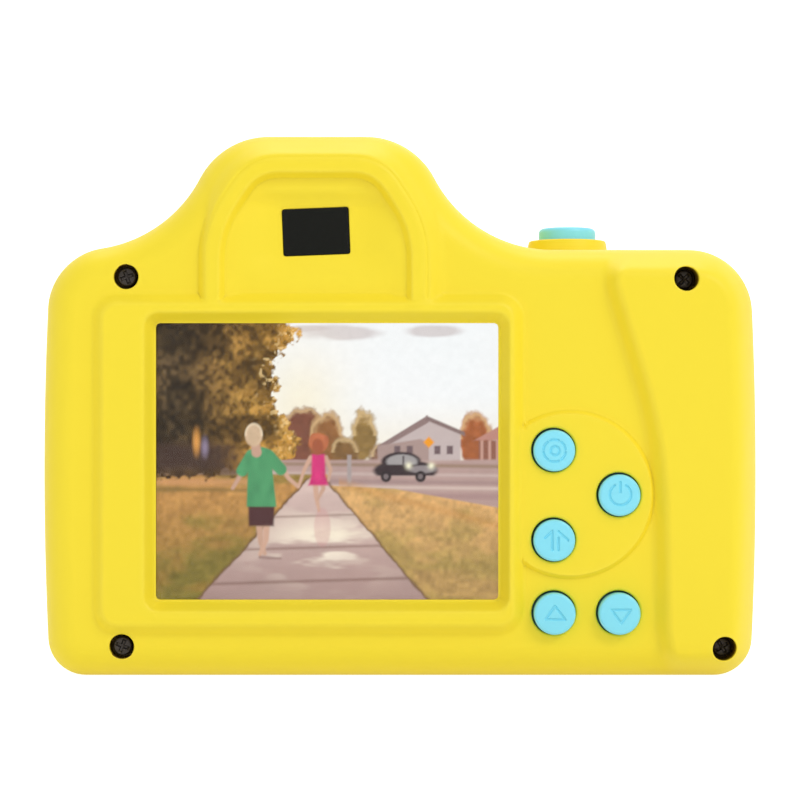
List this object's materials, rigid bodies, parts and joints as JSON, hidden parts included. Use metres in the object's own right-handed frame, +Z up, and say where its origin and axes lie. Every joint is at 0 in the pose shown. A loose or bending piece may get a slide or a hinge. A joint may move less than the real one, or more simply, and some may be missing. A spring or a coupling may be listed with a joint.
{
  "type": "kids digital camera",
  "caption": "Pocket-size toy digital camera for children: moulded shells, lit rear display, round keys, a shutter button, a lens and a hinged door over its sockets.",
  "frame": {"origin": "centre of the bounding box on the base plane that the camera stands on", "axes": "+X to the right when looking at the display, +Y out of the lens, +Z up"},
  "size_m": [0.074, 0.0336, 0.056],
  "materials": {
    "case_plastic": "fine matte moulded ABS",
    "key_plastic": "satin moulded ABS",
    "clear_plastic": "polished clear acrylic",
    "dark_pane": "polished smoked acrylic",
    "display_glass": "liquid crystal panel, lit",
    "white_plastic": "matte moulded",
    "black_plastic": "matte moulded",
    "gray_plastic": "matte moulded",
    "circuit_board": "solder mask over glass fibre",
    "flex_film": "polyimide film",
    "bright_steel": "plated",
    "black_screw": "black oxide",
    "cell_foil": "laminated foil pouch",
    "foam": "closed-cell foam",
    "red_wire": "silicone insulation",
    "black_wire": "silicone insulation",
    "optical_glass": "coated, polished",
    "led_yellow": "phosphor under clear resin"
  },
  "bodies": {
    "case": {"rear_shell": "case_plastic", "front_shell": "case_plastic", "shutter_collar": "case_plastic", "screen_window": "clear_plastic", "screen_gasket": "foam", "display_panel": "display_glass", "display_backlight": "white_plastic", "display_frame": "white_plastic", "display_flex": "flex_film", "display_connector": "white_plastic", "eyepiece_window": "dark_pane", "main_board": "circuit_board", "board_chips": "black_plastic", "switch_bases": "black_plastic", "switch_covers": "bright_steel", "shutter_switch": "black_plastic", "usb_socket": "bright_steel", "card_socket": "bright_steel", "battery": "cell_foil", "battery_pad": "foam", "battery_lead_red": "red_wire", "battery_lead_black": "black_wire", "speaker": "black_plastic", "speaker_leads": "red_wire", "microphone": "bright_steel", "sensor_board": "circuit_board", "lens_holder": "black_plastic", "objective_lens": "optical_glass", "camera_bracket": "black_plastic", "camera_bracket_screws": "bright_steel", "camera_flex": "flex_film", "lens_barrel": "key_plastic", "lens_cone": "black_plastic", "lens_cover": "clear_plastic", "flash_window": "clear_plastic", "flash_led": "led_yellow", "flash_reflector": "white_plastic", "flash_board": "circuit_board", "case_screws": "black_screw", "board_screws": "bright_steel", "strap_bar": "bright_steel", "port_door_pin": "bright_steel"},
    "door": {"port_door": "case_plastic"},
    "shutter": {"shutter_button": "key_plastic", "shutter_plunger": "gray_plastic"},
    "key_menu": {"button_menu": "key_plastic", "plunger_menu": "gray_plastic"},
    "key_power": {"button_power": "key_plastic", "plunger_power": "gray_plastic"},
    "key_playback": {"button_playback": "key_plastic", "plunger_playback": "gray_plastic"},
    "key_up": {"button_up": "key_plastic", "plunger_up": "gray_plastic"},
    "key_down": {"button_down": "key_plastic", "plunger_down": "gray_plastic"}
  },
  "joints": [
    {"name": "port_door_hinge", "type": "hinge", "parent": "case", "child": "door", "pos_m": [-0.0358, -0.0042, 0.0082], "axis": [0, -1, 0], "range_deg": [0, 95]},
    {"name": "shutter_press", "type": "slide", "parent": "case", "child": "shutter", "axis": [0, 0, -1], "range_m": [0, 0.0006], "stiffness_N_per_m": 300, "springref_m": -0.0003},
    {"name": "menu_press", "type": "slide", "parent": "case", "child": "key_menu", "axis": [0, 1, 0], "range_m": [0, 0.0004], "stiffness_N_per_m": 300, "springref_m": -0.0003},
    {"name": "power_press", "type": "slide", "parent": "case", "child": "key_power", "axis": [0, 1, 0], "range_m": [0, 0.0004], "stiffness_N_per_m": 300, "springref_m": -0.0003},
    {"name": "playback_press", "type": "slide", "parent": "case", "child": "key_playback", "axis": [0, 1, 0], "range_m": [0, 0.0004], "stiffness_N_per_m": 300, "springref_m": -0.0003},
    {"name": "up_press", "type": "slide", "parent": "case", "child": "key_up", "axis": [0, 1, 0], "range_m": [0, 0.0004], "stiffness_N_per_m": 300, "springref_m": -0.0003},
    {"name": "down_press", "type": "slide", "parent": "case", "child": "key_down", "axis": [0, 1, 0], "range_m": [0, 0.0004], "stiffness_N_per_m": 300, "springref_m": -0.0003}
  ]
}
